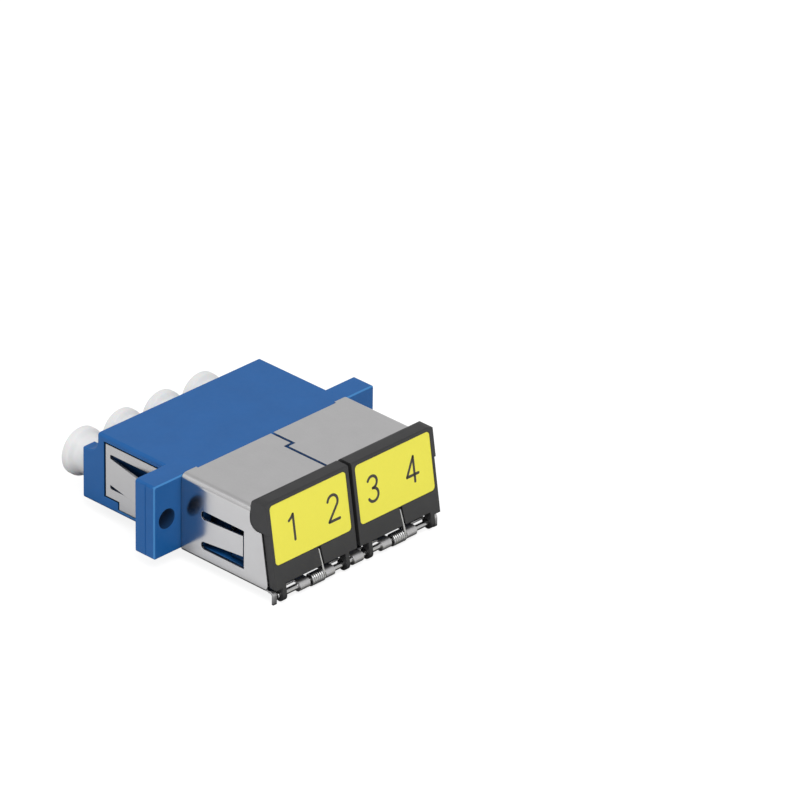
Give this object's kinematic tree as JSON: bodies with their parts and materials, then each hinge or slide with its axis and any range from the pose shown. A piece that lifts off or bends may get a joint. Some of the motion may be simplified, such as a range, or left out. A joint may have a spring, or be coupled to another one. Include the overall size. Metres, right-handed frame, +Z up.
{
  "type": "lc fibre adapter",
  "caption": "Blue flanged LC fibre adapter with a steel cage, two sprung shutters, a panel clip and white dust plugs.",
  "frame": {"origin": "midway between the two screw holes, on the joint plane of the housing halves", "axes": "+X along the flange to the right as seen from the shutters, +Y out of the dust plug side along the fibre axis, +Z up to the latch side"},
  "size_m": [0.0346, 0.0352, 0.0123],
  "materials": {
    "blue_plastic": "moulded, satin",
    "black_plastic": "moulded, fine texture",
    "white_plastic": "moulded, slightly translucent, soft",
    "cage_steel": "thin stainless sheet, satin on top, polished sides",
    "clip_steel": "thin spring steel sheet, bright",
    "pin_steel": "polished pin",
    "spring_steel": "bright wire",
    "zirconia": "ground, white",
    "yellow_label": "printed film, satin"
  },
  "bodies": {
    "adapter_body": {"plug_side_housing": "blue_plastic", "shutter_side_housing": "blue_plastic", "panel_clip": "clip_steel", "shutter_cage": "cage_steel", "hinge_pin": "pin_steel", "alignment_sleeve_1": "zirconia", "alignment_sleeve_2": "zirconia", "alignment_sleeve_3": "zirconia", "alignment_sleeve_4": "zirconia", "torsion_spring_left": "spring_steel", "torsion_spring_right": "spring_steel"},
    "left_shutter": {"shutter_flap_left": "black_plastic", "label_left": "yellow_label"},
    "right_shutter": {"shutter_flap_right": "black_plastic", "label_right": "yellow_label"},
    "plug_1": {"dust_plug_1": "white_plastic"},
    "plug_2": {"dust_plug_2": "white_plastic"},
    "plug_3": {"dust_plug_3": "white_plastic"},
    "plug_4": {"dust_plug_4": "white_plastic"}
  },
  "joints": [
    {"name": "left_shutter_hinge", "type": "hinge", "parent": "adapter_body", "child": "left_shutter", "pos_m": [0, -0.0156, -0.00525], "axis": [1, 0, 0], "range_deg": [0, 100], "stiffness_Nm_per_rad": 0.0002, "springref_deg": -35, "deforming": ["torsion_spring_left"]},
    {"name": "right_shutter_hinge", "type": "hinge", "parent": "adapter_body", "child": "right_shutter", "pos_m": [0, -0.0156, -0.00525], "axis": [1, 0, 0], "range_deg": [0, 100], "stiffness_Nm_per_rad": 0.0002, "springref_deg": -35, "deforming": ["torsion_spring_right"]},
    {"name": "plug_1_pull", "type": "slide", "parent": "adapter_body", "child": "plug_1", "axis": [0, 1, 0], "range_m": [0, 0.012]},
    {"name": "plug_2_pull", "type": "slide", "parent": "adapter_body", "child": "plug_2", "axis": [0, 1, 0], "range_m": [0, 0.012]},
    {"name": "plug_3_pull", "type": "slide", "parent": "adapter_body", "child": "plug_3", "axis": [0, 1, 0], "range_m": [0, 0.012]},
    {"name": "plug_4_pull", "type": "slide", "parent": "adapter_body", "child": "plug_4", "axis": [0, 1, 0], "range_m": [0, 0.012]}
  ]
}
